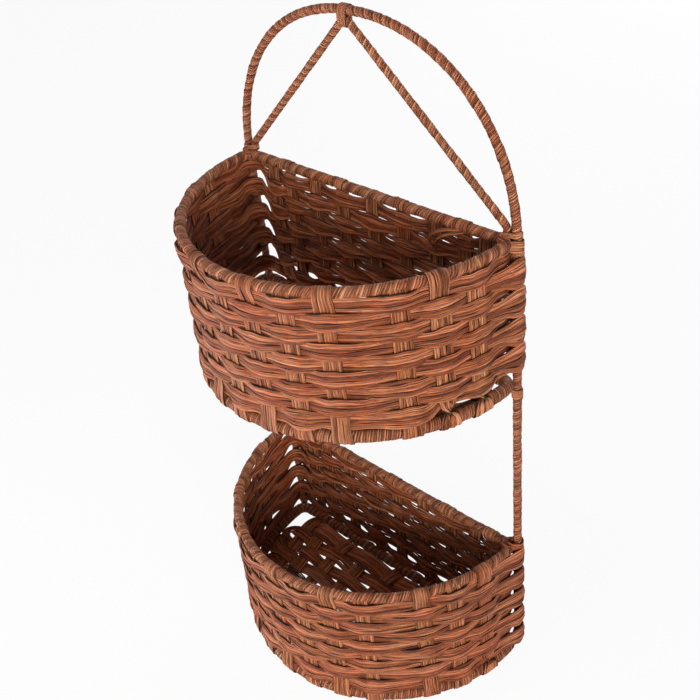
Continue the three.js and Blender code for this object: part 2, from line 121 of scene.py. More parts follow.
studio = {
    "lamps": (
        # name, place, size, watts
        ("keyLamp", (-0.6, -2.1, 0.7), 1.3, 6.0),
        ("lowLamp", (-0.42, -0.54, 0.02), 0.35, 6.2),
        ("sideLamp", (1.9, -1.2, 0.72), 1.1, 50.0),
        ("topLamp", (-0.2, -0.8, 2.4), 1.2, 12.0),
        ("backLamp", (-0.5, 2.1, 0.7), 1.3, 15.0),
    ),
    "aim": (0, 0, 0.27),
    "fill": 0.14,
    "floorColour": (0.82, 0.82, 0.82),
    "floorWhite": 0.93,
    "floorReach": 12,
    "floorLevel": -0.0006,
}


def emptyTree(owner):
    owner.use_nodes = True
    owner.node_tree.nodes.clear()
    return owner.node_tree


def addNode(tree, kind, inputs=None, **settings):
    node = tree.nodes.new(kind)
    for key, value in settings.items():
        setattr(node, key, value)
    for key, value in (inputs or {}).items():
        if isinstance(value, bpy.types.NodeSocket):
            tree.links.new(value, node.inputs[key])
        else:
            node.inputs[key].default_value = value
    return node


def firstOut(tree, kind, inputs=None, **settings):
    return addNode(tree, kind, inputs, **settings).outputs[0]


def mathNode(tree, operation, a, b=0.0, c=0.0):
    return firstOut(tree, "ShaderNodeMath", {0: a, 1: b, 2: c}, operation=operation)


def remap(tree, value, start, end, low=0.0, high=1.0):
    inputs = {"Value": value, "From Min": start, "From Max": end, "To Min": low, "To Max": high}
    return firstOut(tree, "ShaderNodeMapRange", inputs)


def combine(tree, x, y, z=0.0):
    return firstOut(tree, "ShaderNodeCombineXYZ", {"X": x, "Y": y, "Z": z})


def mixColours(tree, blend, factor, a, b):
    return addNode(tree, "ShaderNodeMix", {0: factor, 6: a, 7: b},
                   data_type="RGBA", blend_type=blend).outputs[2]


def addStudio():
    world = bpy.data.worlds.new("studioWorld")
    bpy.context.scene.world = world
    tree = emptyTree(world)
    path = addNode(tree, "ShaderNodeLightPath").outputs
    seen = mathNode(tree, "MAXIMUM", path["Is Camera Ray"], path["Is Glossy Ray"])
    seen = mathNode(tree, "MAXIMUM", seen, path["Is Transmission Ray"])
    strength = remap(tree, seen, 0.0, 1.0, studio["fill"], 1.0)
    glow = addNode(tree, "ShaderNodeBackground", {"Color": (1, 1, 1, 1), "Strength": strength})
    addNode(tree, "ShaderNodeOutputWorld", {0: glow.outputs[0]})

    for name, place, size, watts in studio["lamps"]:
        data = bpy.data.lights.new(name, "AREA")
        data.shape = "DISK"
        data.size = size
        data.energy = watts
        aim = Vector(studio["aim"]) - Vector(place)
        turn = aim.to_track_quat("-Z", "Y").to_matrix().to_4x4()
        putInScene(name, data).matrix_world = Matrix.Translation(place) @ turn

    material = bpy.data.materials.new("paleFloor")
    tree = emptyTree(material)
    path = addNode(tree, "ShaderNodeLightPath").outputs
    share = mathNode(tree, "MULTIPLY", path["Is Camera Ray"], studio["floorWhite"])
    pale = addNode(tree, "ShaderNodeBsdfDiffuse", {"Color": (*studio["floorColour"], 1)})
    white = addNode(tree, "ShaderNodeEmission", {"Color": (1, 1, 1, 1), "Strength": 1.0})
    mix = addNode(tree, "ShaderNodeMixShader", {0: share, 1: pale.outputs[0], 2: white.outputs[0]})
    addNode(tree, "ShaderNodeOutputMaterial", {0: mix.outputs[0]})
    mesh = bpy.data.meshes.new("studioFloor")
    corners = [(x * studio["floorReach"], y * studio["floorReach"], studio["floorLevel"])
               for x, y in ((-1, -1), (1, -1), (1, 1), (-1, 1))]
    mesh.from_pydata(corners, [], [(0, 1, 2, 3)])
    mesh.materials.append(material)
    putInScene("studioFloor", mesh)


addCamera()
addStudio()
bpy.context.scene.view_settings.view_transform = "Standard"
print("camera, lamps and floor are in place")

cordFinish = {
    # deep, middle and light colour, lowest and highest roughness,
    # how many creases go round a strand, and how far out the painted shade at its edges begins
    "weaver": ((0.105, 0.019, 0.005), (0.385, 0.103, 0.032), (0.665, 0.258, 0.122),
               0.36, 0.62, 1.0, 0.77),
    "stake": ((0.120, 0.028, 0.007), (0.440, 0.150, 0.053), (0.680, 0.290, 0.140),
              0.40, 0.66, 0.9, 0.77),
    "wound_rod": ((0.120, 0.028, 0.008), (0.430, 0.140, 0.052), (0.700, 0.310, 0.165),
                  0.38, 0.62, 0.5, 0.80),
    "binding": ((0.120, 0.028, 0.008), (0.425, 0.135, 0.050), (0.690, 0.300, 0.155),
                0.38, 0.62, 0.7, 0.80),
}

cordSurface = {
    # streaks: scale along a strand and round it, detail, offset
    "fine": (60, 5.0, 3, 0),
    "broad": (22, 1.6, 2, 31),
    "creaseShade": (42, 2.1, 1, 57),
    "streakRoughness": 0.6,
    "strandShift": 83.0,  # so that no strand repeats the next one's streaks
    # painted shade in the creases: how wide the thin dark lines are and how dark they get
    "creaseWidths": (0.008, 0.032),
    "paintedCreaseShade": 0.30,
    "fineShare": 1.25,
    "broadShare": (0.9, -0.52),
    "toneShare": (0.40, -0.19),
    "rampPlaces": (0.28, 0.52, 0.80),
    "patchScale": 26,
    "patchRange": (0.35, 0.68),
    "patchTint": (1.0, 0.80, 0.68, 1),
    "hueTurns": 7.3,
    "tanTint": (1.02, 1.03, 0.97, 1),
    "roseTint": (0.99, 0.95, 1.0, 1),
    # painted shade at the edges of a strand, where it sinks between its neighbours: wander, where it
    # starts and ends, and how dark
    "edgeShadeWander": 0.8,
    "edgeShadeRange": (0.4, 0.47),
    "paintedEdgeShade": 0.05,
    "roughRange": (0.3, 0.7),
    "relief": 0.5,
    "shader": {"Specular IOR Level": 0.25, "Sheen Weight": 0.01, "Sheen Roughness": 0.45},
    "bump": {"Strength": 0.7, "Distance": 0.0006},
}


def cordMaterial(slot):
    deep, middle, light, smoothLevel, roughLevel, creases, edgeShadeStart = cordFinish[slot]
    look = cordSurface
    material = bpy.data.materials.new(slot + "Cord")
    tree = emptyTree(material)
    shader = addNode(tree, "ShaderNodeBsdfPrincipled", look["shader"])
    addNode(tree, "ShaderNodeOutputMaterial", {0: shader.outputs[0]})

    def stored(name):
        return addNode(tree, "ShaderNodeAttribute", attribute_type="GEOMETRY",
                       attribute_name=name).outputs["Fac"]

    along, tone = stored("along"), stored("tone")
    circle = mathNode(tree, "MULTIPLY", stored("around"), 2 * math.pi)
    cosine, sine = mathNode(tree, "COSINE", circle), mathNode(tree, "SINE", circle)

    def streaks(name):
        # long creases that run with the strand, closed round its section
        alongScale, aroundScale, detail, offset = look[name]
        shift = mathNode(tree, "MULTIPLY_ADD", tone, look["strandShift"], offset)
        y, z = (mathNode(tree, "MULTIPLY", v, aroundScale * creases) for v in (cosine, sine))
        place = combine(tree, mathNode(tree, "MULTIPLY_ADD", along, alongScale, shift), y, z)
        return firstOut(tree, "ShaderNodeTexNoise", {
            "Vector": place, "Scale": 1.0, "Detail": detail, "Roughness": look["streakRoughness"]})

    fine, broad, creaseShade = streaks("fine"), streaks("broad"), streaks("creaseShade")
    # painted shade in the creases: thin dark lines where the crease streaks pass their middle
    creaseShade = mathNode(tree, "ABSOLUTE", mathNode(tree, "SUBTRACT", creaseShade, 0.5))
    creaseShade = remap(tree, creaseShade, *look["creaseWidths"], look["paintedCreaseShade"], 1.0)

    # the strand's own tone and its streaks pick the colour
    blend = mathNode(tree, "MULTIPLY_ADD", broad, *look["broadShare"])
    blend = mathNode(tree, "MULTIPLY_ADD", fine, look["fineShare"], blend)
    toned = mathNode(tree, "MULTIPLY_ADD", tone, *look["toneShare"])
    colours = addNode(tree, "ShaderNodeValToRGB", {"Fac": mathNode(tree, "ADD", blend, toned)})
    ramp = colours.color_ramp.elements
    low, half, high = look["rampPlaces"]
    ramp[0].position, ramp[0].color = low, (*deep, 1)
    ramp[1].position, ramp[1].color = high, (*light, 1)
    ramp.new(half).color = (*middle, 1)

    # redder and browner patches, then rose and tan strands
    spot = addNode(tree, "ShaderNodeTexCoord").outputs["Object"]
    patch = firstOut(tree, "ShaderNodeTexNoise",
                     {"Vector": spot, "Scale": look["patchScale"], "Detail": 2})
    red = remap(tree, patch, *look["patchRange"])
    tint = mixColours(tree, "MIX", red, (1, 1, 1, 1), look["patchTint"])
    coloured = mixColours(tree, "MULTIPLY", 1.0, colours.outputs[0], tint)
    rose = mathNode(tree, "FRACT", mathNode(tree, "MULTIPLY", tone, look["hueTurns"]))
    hue = mixColours(tree, "MIX", rose, look["tanTint"], look["roseTint"])
    coloured = mixColours(tree, "MULTIPLY", 1.0, coloured, hue)

    # painted shade: the edges of a strand are darkened where they sink between strands, and the
    # painted crease lines darken it too
    paintedShade = mathNode(tree, "MULTIPLY_ADD", broad, look["edgeShadeWander"], mathNode(tree, "ABSOLUTE", sine))
    paintedShade = remap(tree, paintedShade, *(edgeShadeStart + v for v in look["edgeShadeRange"]), 1.0, look["paintedEdgeShade"])
    paintedShade = mathNode(tree, "MULTIPLY", paintedShade, creaseShade)
    shaded = mixColours(tree, "MULTIPLY", 1.0, coloured, combine(tree, paintedShade, paintedShade, paintedShade))
    rough = remap(tree, fine, *look["roughRange"], roughLevel, smoothLevel)
    # the painted shade also lowers the bump at the strand edges and creases
    relief = mathNode(tree, "MULTIPLY_ADD", paintedShade, look["relief"], fine)
    bump = firstOut(tree, "ShaderNodeBump", {"Height": relief, **look["bump"]})
    for name, made in (("Base Color", shaded), ("Roughness", rough), ("Normal", bump)):
        tree.links.new(made, shader.inputs[name])
    return material


materials = {slot: cordMaterial(slot) for slot in cordFinish}
print("cord finishes are made")

# the section of one strand, which every Geometry Nodes tree sweeps along its lines
section = {
    "points": 12,
    "thicknessShare": 0.36,  # thickness of a strand over its width
    "fullness": 0.38,
    "foldDepth": 0.12,  # depth of the folds that run with a strand
    "crumple": 0.10,  # irregular creases, and their scales along a strand and round it
    "crumpleScales": (95.0, 1.9),
    "crumpleShift": 61.0,
    "crumpleSeed": 7.0,
}
sectionInputs = {
    "Section Points": ("Int", section["points"]),
    "Thickness Share": ("Float", section["thicknessShare"]),
    "Fullness": ("Float", section["fullness"]),
    "Fold Depth": ("Float", section["foldDepth"]),
    "Crumple": ("Float", section["crumple"]),
    "Seed": ("Float", section["crumpleSeed"]),
    "Material": ("Material", None),
}


def startTree(name, inputs):
    tree = bpy.data.node_groups.new(name, "GeometryNodeTree")
    tree.interface.new_socket("Geometry", in_out="INPUT", socket_type="NodeSocketGeometry")
    for label, (kind, value) in inputs.items():
        socket = tree.interface.new_socket(label, in_out="INPUT", socket_type="NodeSocket" + kind)
        if value is not None:
            socket.default_value = value
    tree.interface.new_socket("Geometry", in_out="OUTPUT", socket_type="NodeSocketGeometry")
    return tree, tree.nodes.new("NodeGroupInput").outputs


def readAttribute(tree, name, kind="FLOAT"):
    return addNode(tree, "GeometryNodeInputNamedAttribute", {"Name": name},
                   data_type=kind).outputs["Attribute"]


def storeAttribute(tree, geometry, name, value, kind="FLOAT"):
    inputs = {"Geometry": geometry, "Name": name, "Value": value}
    return firstOut(tree, "GeometryNodeStoreNamedAttribute", inputs, data_type=kind, domain="POINT")


def scaled(tree, vector, amount):
    return firstOut(tree, "ShaderNodeVectorMath", {0: vector, "Scale": amount}, operation="SCALE")


def faced(tree, curves, name):
    # turns the flat side of what will be swept along the curves the way a stored direction says
    inputs = {0: curves, "Normal": readAttribute(tree, name, "FLOAT_VECTOR")}
    return firstOut(tree, "GeometryNodeSetCurveNormal", inputs, mode="FREE")


def strandSection(tree, given):
    # a flattened, folded loop: x is the thickness and y the width of the strand
    loop = firstOut(tree, "GeometryNodeCurvePrimitiveCircle",
                    {"Resolution": given["Section Points"], "Radius": 1.0})
    factor = addNode(tree, "GeometryNodeSplineParameter").outputs["Factor"]
    loop = storeAttribute(tree, loop, "around", factor)
    position = firstOut(tree, "GeometryNodeInputPosition")
    spot = addNode(tree, "ShaderNodeSeparateXYZ", {0: position}).outputs
    flat = mathNode(tree, "POWER", mathNode(tree, "ABSOLUTE", spot["X"]), given["Fullness"])
    flat = mathNode(tree, "MULTIPLY", flat, mathNode(tree, "SIGN", spot["X"]))
    index = firstOut(tree, "GeometryNodeInputIndex")
    odd = mathNode(tree, "MODULO", index, 2.0)
    fold = mathNode(tree, "MULTIPLY", mathNode(tree, "SUBTRACT", 1.0, odd), given["Fold Depth"])
    flat = mathNode(tree, "MULTIPLY", flat, mathNode(tree, "SUBTRACT", 1.0, fold))
    x = mathNode(tree, "MULTIPLY", flat, mathNode(tree, "MULTIPLY", given["Thickness Share"], 0.5))
    place = combine(tree, x, mathNode(tree, "MULTIPLY", spot["Y"], 0.5))
    return firstOut(tree, "GeometryNodeSetPosition", {"Geometry": loop, "Position": place})


def crumpled(tree, geometry, given):
    # irregular creases, longer along the strand than across it
    alongScale, aroundScale = section["crumpleScales"]
    circle = mathNode(tree, "MULTIPLY", readAttribute(tree, "around"), 2 * math.pi)
    shift = mathNode(tree, "MULTIPLY_ADD", readAttribute(tree, "tone"), section["crumpleShift"],
                     given["Seed"])
    x = mathNode(tree, "MULTIPLY_ADD", readAttribute(tree, "along"), alongScale, shift)
    y, z = (mathNode(tree, "MULTIPLY", mathNode(tree, turn, circle), aroundScale)
            for turn in ("COSINE", "SINE"))
    noise = firstOut(tree, "ShaderNodeTexNoise",
                     {"Vector": combine(tree, x, y, z), "Scale": 1.0, "Detail": 2.0})
    depth = mathNode(tree, "MULTIPLY", mathNode(tree, "SUBTRACT", noise, 0.5), given["Crumple"])
    depth = mathNode(tree, "MULTIPLY", depth, readAttribute(tree, "span"))
    push = scaled(tree, firstOut(tree, "GeometryNodeInputNormal"), depth)
    return firstOut(tree, "GeometryNodeSetPosition", {"Geometry": geometry, "Offset": push})


def endTree(tree, curves, given):
    # sweeps the section along the curves and finishes the tree
    geometry = firstOut(tree, "GeometryNodeCurveToMesh", {
        "Curve": curves, "Profile Curve": strandSection(tree, given),
        "Scale": readAttribute(tree, "span"), "Fill Caps": True})
    geometry = crumpled(tree, geometry, given)
    geometry = firstOut(tree, "GeometryNodeRealizeInstances", {0: geometry})
    geometry = firstOut(tree, "GeometryNodeSetShadeSmooth", {"Geometry": geometry})
    geometry = firstOut(tree, "GeometryNodeSetMaterial",
                        {"Geometry": geometry, "Material": given["Material"]})
    tree.links.new(geometry, tree.nodes.new("NodeGroupOutput").inputs[0])
    return tree


def makeStrandTree():
    # one strand along every line, facing and sized as the line's points say
    tree, given = startTree("strandsAlongLines", sectionInputs)
    lines = firstOut(tree, "GeometryNodeMeshToCurve", {0: given["Geometry"]})
    return endTree(tree, faced(tree, lines, "facing"), given)


def makeWindingTree():
    # winds strands round a rod: a line's points carry the running angle, radius and strand width
    tree, given = startTree("windingRoundRod", {"Points": ("Int", 1000), **sectionInputs})
    lines = faced(tree, firstOut(tree, "GeometryNodeMeshToCurve", {0: given["Geometry"]}), "facing")
    lines = firstOut(tree, "GeometryNodeResampleCurve",
                     {"Curve": lines, "Count": given["Points"]}, mode="COUNT")
    outward = firstOut(tree, "ShaderNodeVectorRotate", {
        "Vector": firstOut(tree, "GeometryNodeInputNormal"),
        "Axis": firstOut(tree, "GeometryNodeInputTangent"),
        "Angle": readAttribute(tree, "turn"),
    }, rotation_type="AXIS_ANGLE")
    lines = storeAttribute(tree, lines, "outward", outward, "FLOAT_VECTOR")
    push = scaled(tree, readAttribute(tree, "outward", "FLOAT_VECTOR"), readAttribute(tree, "reach"))
    coils = firstOut(tree, "GeometryNodeSetPosition", {"Geometry": lines, "Offset": push})
    length = addNode(tree, "GeometryNodeSplineParameter").outputs["Length"]
    coils = storeAttribute(tree, coils, "along", length)
    return endTree(tree, faced(tree, coils, "outward"), given)


strandTree = makeStrandTree()
windingTree = makeWindingTree()

# the bottom of the lower basket hangs higher at the back and on the left
askew = {"rise": 10.0, "level": 0.42, "left": 0.55, "back": 0.45, "middle": 70, "deepest": 1.05}


def settled(points):
    depth = np.clip((heights["lower_top"] - points[:, 2]) / basket["height"], 0, askew["deepest"])
    back = askew["back"] * (points[:, 1] + askew["middle"])
    share = askew["level"] + (-askew["left"] * points[:, 0] + back) / halfSpacing
    rise = askew["rise"] * depth * np.clip(share, 0, 1)
    return points + np.stack([0 * depth, 0 * depth, rise], 1)


def lineMesh(name, strands):
    # one chain of edges for each strand, closed into a loop where the strand is one
    counts = [len(s["points"]) for s in strands]
    starts = np.concatenate([[0], np.cumsum(counts)[:-1]])
    points = settled(np.concatenate([s["points"] for s in strands]))
    edges = []
    for start, count, strand in zip(starts, counts, strands):
        run = np.arange(start, start + count)
        edges.append(np.stack([run[:-1], run[1:]], 1))
        if strand.get("closed"):
            edges.append(np.array([[run[-1], run[0]]]))
    mesh = bpy.data.meshes.new(name)
    mesh.from_pydata(((points + origin) * mm).tolist(), np.concatenate(edges).tolist(), [])
    for key in ("along", "span", "tone", "turn", "reach"):
        if key in strands[0]:
            values = np.concatenate([np.broadcast_to(s[key], c) for s, c in zip(strands, counts)])
            values = (values * (1.0 if key in ("tone", "turn") else mm)).astype(np.float32)
            mesh.attributes.new(key, "FLOAT", "POINT").data.foreach_set("value", values)
    facing = np.concatenate([s["facing"] for s in strands]).astype(np.float32).ravel()
    mesh.attributes.new("facing", "FLOAT_VECTOR", "POINT").data.foreach_set("vector", facing)
    return mesh


def grow(node, strands, tree, slot, inputs=None):
    # lays the strands out with a tree, makes them a plain mesh and hands the frame the piece,
    # whose name is the node's in another spelling
    first, *words = node.split("_")
    name = first + "".join(word.capitalize() for word in words)
    mesh = lineMesh(name + "Lines", strands)
    source = putInScene(name + "Lines", mesh)
    modifier = source.modifiers.new("strands", "NODES")
    modifier.node_group = tree
    identifiers = {item.name: item.identifier for item in tree.interface.items_tree
                   if item.item_type == "SOCKET" and item.in_out == "INPUT"}
    for label, value in {"Material": materials[slot], **(inputs or {})}.items():
        modifier[identifiers[label]] = value
    bpy.context.view_layer.update()
    grown = source.evaluated_get(bpy.context.evaluated_depsgraph_get())
    made = bpy.data.meshes.new_from_object(grown)
    source.modifiers.remove(modifier)
    bpy.data.objects.remove(source)
    bpy.data.meshes.remove(mesh)
    made.name = name
    for key in ("facing", "span", "turn", "reach", "outward"):
        if key in made.attributes:
            made.attributes.remove(made.attributes[key])
    piece = putInScene(name, made)
    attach(piece, "root")
    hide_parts(node)


def unit(v):
    return v / np.linalg.norm(v, axis=-1, keepdims=True)


def lengthAlong(points):
    return np.concatenate([[0], np.cumsum(np.linalg.norm(np.diff(points, axis=0), axis=1))])


def throughKnots(knots, step, closed, fewest=8):
    # a smooth line through knots: rows of values whose first three columns are a place
    rows = np.vstack([knots, knots[:1]]) if closed else knots
    lengths = np.linalg.norm(np.diff(rows[:, :3], axis=0), axis=1)
    t = lengthAlong(rows[:, :3])
    slopes = np.diff(rows, axis=0) / lengths[:, None]
    first, last = (-1, 0) if closed else (0, -1)
    before, after = np.vstack([slopes[[first]], slopes]), np.vstack([slopes, slopes[[last]]])
    stepBefore, stepAfter = np.append(lengths[first], lengths), np.append(lengths, lengths[last])
    tangents = before * stepAfter[:, None] + after * stepBefore[:, None]
    tangents /= (stepAfter + stepBefore)[:, None]
    count = max(int(round(t[-1] / step)), fewest)
    u = np.linspace(0, t[-1], count + 1)
    if closed:
        u = u[:-1]
    i = np.clip(np.searchsorted(t, u, side="right") - 1, 0, len(lengths) - 1)
    h = lengths[i][:, None]
    x = ((u - t[i]) / lengths[i])[:, None]
    value = (rows[i] * (2 * x**3 - 3 * x**2 + 1) + tangents[i] * h * (x**3 - 2 * x**2 + x)
             + rows[i + 1] * (3 * x**2 - 2 * x**3) + tangents[i + 1] * h * (x**3 - x**2))
    return u, t[-1], value


def wave(u, total, wavelength, draws=3, strayed=(0.6, 1.5)):
    # slow random swing from -1 to 1 that closes on itself
    result = np.zeros_like(u)
    base = max(total / wavelength, 1.0)
    for _ in range(draws):
        turns = max(int(round(base * rng.uniform(*strayed))), 1)
        result += np.sin(2 * math.pi * (turns * u / total + rng.uniform()))
    return result / draws


# how a strand strays in its band: lengths of its waves and how far each swings
straying = {
    "widths": (0.72, 1.28),
    "sideWave": 38,
    "depthWave": 30,
    "tiltWave": 26,
    "tiltSwing": 0.22,
    "widthWave": 45,
    "widthSwing": 0.14,
    "layer": 0.10,
    "twistDepth": 0.45,
    "toneRange": (0.1, 0.9),
    "alongRange": 900,  # millimetres of cord from which each strand is cut
}


# columns of a knot: middle, across the band, through it, spread, twist
placeAt, acrossAt, throughAt, spreadAt, twistAt = slice(0, 3), slice(3, 6), slice(6, 9), 9, 10


def bundle(knots, settings, closed=False):
    # strands side by side along one band
    u, total, rows = throughKnots(knots, settings["step"], closed)
    middle, across, through = rows[:, placeAt], unit(rows[:, acrossAt]), unit(rows[:, throughAt])
    spread, twist = rows[:, spreadAt], rows[:, twistAt]
    count = settings["count"]
    order = rng.permutation(count)
    widths = rng.uniform(*straying["widths"], count)
    widths /= widths.sum()
    places = np.cumsum(widths) - widths / 2 - 0.5
    crowd = np.clip(1 - spread / settings["widest"], 0, 1)
    strands = []
    for k, share in enumerate(places):
        lateral = share * spread + settings["wander"] * wave(u, total, straying["sideWave"])
        layer = (1 if k % 2 else -1) * (straying["layer"] + crowd * settings["stack"])
        crownRise = settings["crown"] * (1 - 4 * share**2) * (1 - crowd)
        depth = layer + crownRise + settings["depthWander"] * wave(u, total, straying["depthWave"])
        sunk = depth + lateral * np.sin(twist) * straying["twistDepth"]
        place = middle + across * (lateral * np.cos(twist))[:, None] + through * sunk[:, None]
        tilt = share * settings["tilt"]
        tilt = tilt + straying["tiltSwing"] * wave(u, total, straying["tiltWave"]) + twist
        facing = through * np.cos(tilt)[:, None] + across * np.sin(tilt)[:, None]
        uneven = 1 + straying["widthSwing"] * wave(u, total, straying["widthWave"])
        span = np.maximum(spread * widths[k] * settings["overlap"] * uneven, settings["narrowest"])
        strands.append({
            "points": place, "facing": facing, "span": span, "closed": closed,
            "along": u + straying["alongRange"] * rng.uniform(),
            "tone": (order[k] + rng.uniform(*straying["toneRange"])) / count,
        })
    return strands


ringSteps = {"corner": 40, "front": 900, "back": 300}


class RingLine:
    # the D that rings, stakes and weavers follow: from the left post along the front, then the back
    def __init__(self):
        inset = basket["ringInset"]
        seat = basket["hoopRadius"] + basket["ringRadius"] + basket["clearance"]
        corner = (seat - math.sqrt(2) * inset) / (math.sqrt(2) - 1)
        self.half = halfSpacing - inset
        self.bend = self.half - corner
        self.cornerY = -(inset + corner)
        self.frontRise = basket["depth"] + self.cornerY

        def arc(x, radiusX, radiusY, start, end, steps):
            a = np.linspace(start * math.pi, end * math.pi, steps)
            return np.stack([x + radiusX * np.cos(a), self.cornerY + radiusY * np.sin(a)], 1)

        def bent(x, start, end):
            return arc(x, corner, corner, start, end, ringSteps["corner"])

        front = np.vstack([bent(-self.bend, 0.75, 1)[:-1],
                           arc(0, self.half, self.frontRise, 1, 2, ringSteps["front"])[:-1],
                           bent(self.bend, 0, 0.25)])
        straight = np.linspace([self.bend, -inset], [-self.bend, -inset], ringSteps["back"])
        back = np.vstack([bent(self.bend, 0.25, 0.5)[1:], straight[1:],
                          bent(-self.bend, 0.5, 0.75)[1:]])
        self.points = points = np.vstack([front, back])
        self.s = lengthAlong(points)
        self.full = self.s[-1]
        self.frontLength = self.s[len(front) - 1]
        self.backStart = self.s[len(front) + ringSteps["corner"] - 2]
        around = np.vstack([points[-2], points, points[1]])
        tangent = unit(around[2:] - around[:-2])
        self.normals = np.stack([tangent[:, 1], -tangent[:, 0]], 1)

    def at(self, s):
        s = np.mod(s, self.full)
        point = np.array([np.interp(s, self.s, self.points[:, j]) for j in (0, 1)])
        normal = np.array([np.interp(s, self.s, self.normals[:, j]) for j in (0, 1)])
        return point, normal / np.linalg.norm(normal)

    def backAt(self, x):
        return self.backStart + self.bend - x


ring = RingLine()
xAxis, yAxis, up = np.eye(3)


def makeAnchors():
    # what the weavers go round, in their order: front stakes, right post, back stakes, left post
    found = []
    for i in range(basket["frontStakes"]):
        share = basket["frontFirstShare"] + basket["frontStakeShare"] * i
        share += basket["wideGapShare"] if i >= basket["wideGapAfter"] else 0
        found.append({"kind": "stake", "s": share * ring.frontLength, "lean": basket["lean"]})
    found.append({"kind": "post", "side": 1, "s": ring.frontLength})
    for share in reversed(basket["backShares"]):
        s = ring.backAt(basket["postSpacing"] * (share - 0.5))
        found.append({"kind": "stake", "s": s, "lean": 0.0})
    found.append({"kind": "post", "side": -1, "s": ring.full})
    return found


anchors = makeAnchors()


def anchorAt(anchor, height):
    # a stake at a height above its bottom ring: point, outward normal, direction along the ring
    point, normal = ring.at(anchor["s"] + anchor["lean"] * (1 - height / basket["height"]))
    normal = np.array([*normal, 0.0])
    return np.array([*point, 0.0]), normal, np.cross(up, normal)


def stakeOffset(height):
    fromRing = min(height, basket["height"] - height)
    start, end = basket["shoulderStart"], basket["shoulderHeight"]
    share = min(max((fromRing - start) / (end - start), 0), 1)
    return basket["stakeWrapRadius"] + (basket["stakeOutset"] - basket["stakeWrapRadius"]) * share


weaver = {
    "rows": 9,
    "pitch": 11.2,
    "drop": 9,
    "spread": 13.4,  # over the edges of a stake
    "middleSpread": 14.8,
    "crossSpread": 12.0,  # between two stakes, where the rows change sides
    "lowRow": 4,  # from this row down the rows leave less air between two stakes
    "lowCrossSpread": {"upper": 13.6, "lower": 14.6},
    "swing": 1.55,  # from the middle of a stake to the middle of a weaver
    "bulge": 0.2,
    "reach": {"outside": 6.0, "inside": 5.0},  # half the length of a pass over a stake
    "counts": (5, 4),
    "strands": {"step": 2.4, "widest": 14.0, "wander": 0.35, "stack": 0.9, "crown": 0.30,
                "depthWander": 0.16, "tilt": 0.5, "overlap": 1.22, "narrowest": 2.5},

    # spreads and rises beside a post: on the front wall, on the post's front side,
    # on its back side and on the back wall
    "corners": {
        ("upper", 1): {"outside": ((14, 21.5, 12, 12), (0, 0, 0, 0)),
                       "inside": ((14, 10, 10, 12), (0, 0, 0, 0))},
        ("upper", -1): {"outside": ((15, 15, 5.5, 3.5), (1, 3, 4.5, 4.5)),
                        "inside": ((15, 14, 13.5, 12), (1, 3, 4, 1))},
        ("lower", 1): {"outside": ((14, 18, 13, 12), (0, 0, 0, 0)),
                       "inside": ((14.5, 14, 11, 12), (0, 0, 0, 0))},
        ("lower", -1): {"outside": ((14, 11, 18, 15.5), (1, 3, 2.5, 0)),
                        "inside": ((14.5, 13, 16, 15), (1, 2, 2.5, 0))},
    },
    "cornerPlaces": (13, 7, 12),  # along the ring: front wall, both sides of the post, back wall
    "cornerOffsets": {"outside": (3.4, 2.6), "inside": (0.4, 0.8)},  # on the front and back wall
    "besidePost": 1.7,
    "postReach": 4.6,  # radius of a row round the outside of a post
    "postInside": 4.9,
    "postTurns": (5, 25, 45, 65, 85),

    # the back wall's rows, and the lower basket's on the left, leave air under their rims
    "backDrop": 4.2,
    "backCornerShare": 0.4,
    "backSpreads": (13.0, 10.1, 10.8),  # over a stake, between two, and in the first row
    "leftDrop": 8.5,
    "leftNarrowing": 3.9,
    "leftStakes": 5,
    "leftRows": 5,

    # the last row is pressed down on the bottom ring, and this many times as far on the back walls
    # and the lower basket's left, but at the upper basket's right end it is lifted off the ring
    "lastDrop": 1.4,
    "pressTimes": 3,
    "pressedStakes": 4,
    "lastPostShare": 0.5,
    "lastSpread": 15.6,
    "lastPostSpread": 15.0,
    "lift": 3.6,
    "liftedSpread": 12.0,
    "liftedAfter": 10,
}


